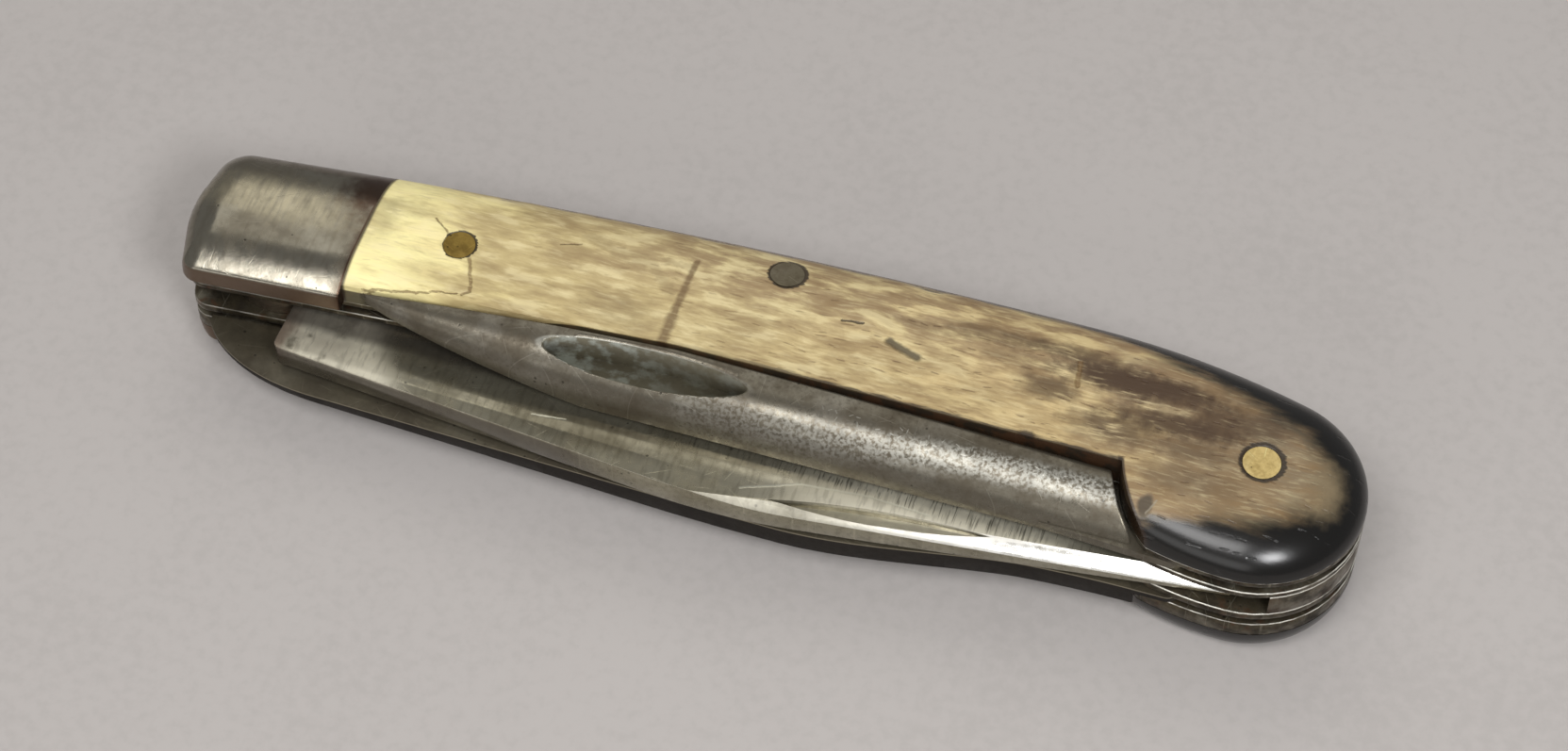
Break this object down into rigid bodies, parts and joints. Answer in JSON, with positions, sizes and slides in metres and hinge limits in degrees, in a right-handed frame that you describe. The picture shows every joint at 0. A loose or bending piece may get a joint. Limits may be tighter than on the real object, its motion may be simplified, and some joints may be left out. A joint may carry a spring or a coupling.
{
  "type": "three-tool slip-joint pocket knife",
  "caption": "Closed folding pocket knife with bone scales, plain bolsters at one end, a main blade and two butt-end tools beside it.",
  "frame": {"origin": "halfway between the two pivot pins, on the flat of the back scale that the closed knife rests on", "axes": "+X along the handle towards the round butt, +Y to the back (spring side), +Z out of the front scale"},
  "size_m": [0.1017, 0.0238, 0.0144],
  "materials": {
    "bone": "polished",
    "bolster_metal": "satin",
    "liner_brass": "satin",
    "spring_steel": "satin",
    "blade_steel": "satin",
    "dark_steel": "satin",
    "pin_brass": "polished"
  },
  "bodies": {
    "handle": {"front_scale": "bone", "back_scale": "bone", "front_bolster": "bolster_metal", "back_bolster": "bolster_metal", "front_liner": "liner_brass", "inner_front_liner": "liner_brass", "inner_back_liner": "liner_brass", "back_liner": "liner_brass", "main_spring": "spring_steel", "front_spring": "spring_steel", "back_spring": "spring_steel", "bolster_pin": "bolster_metal", "butt_pin": "pin_brass", "spring_pin": "spring_steel", "front_scale_rivet": "pin_brass", "back_scale_rivet": "pin_brass", "front_bolster_studs": "bolster_metal", "back_bolster_studs": "bolster_metal"},
    "main_blade": {"main_blade": "blade_steel"},
    "front_spike": {"front_spike": "dark_steel"},
    "back_blade": {"back_blade": "dark_steel"}
  },
  "joints": [
    {"name": "main_blade_pivot", "type": "hinge", "parent": "handle", "child": "main_blade", "pos_m": [-0.04225, 0, 0.00722], "axis": [0, 0, -1], "range_deg": [0, 180]},
    {"name": "front_spike_pivot", "type": "hinge", "parent": "handle", "child": "front_spike", "pos_m": [0.04225, 0, 0.00722], "axis": [0, 0, 1], "range_deg": [0, 180]},
    {"name": "back_blade_pivot", "type": "hinge", "parent": "handle", "child": "back_blade", "pos_m": [0.04225, 0, 0.00722], "axis": [0, 0, 1], "range_deg": [0, 180]}
  ]
}
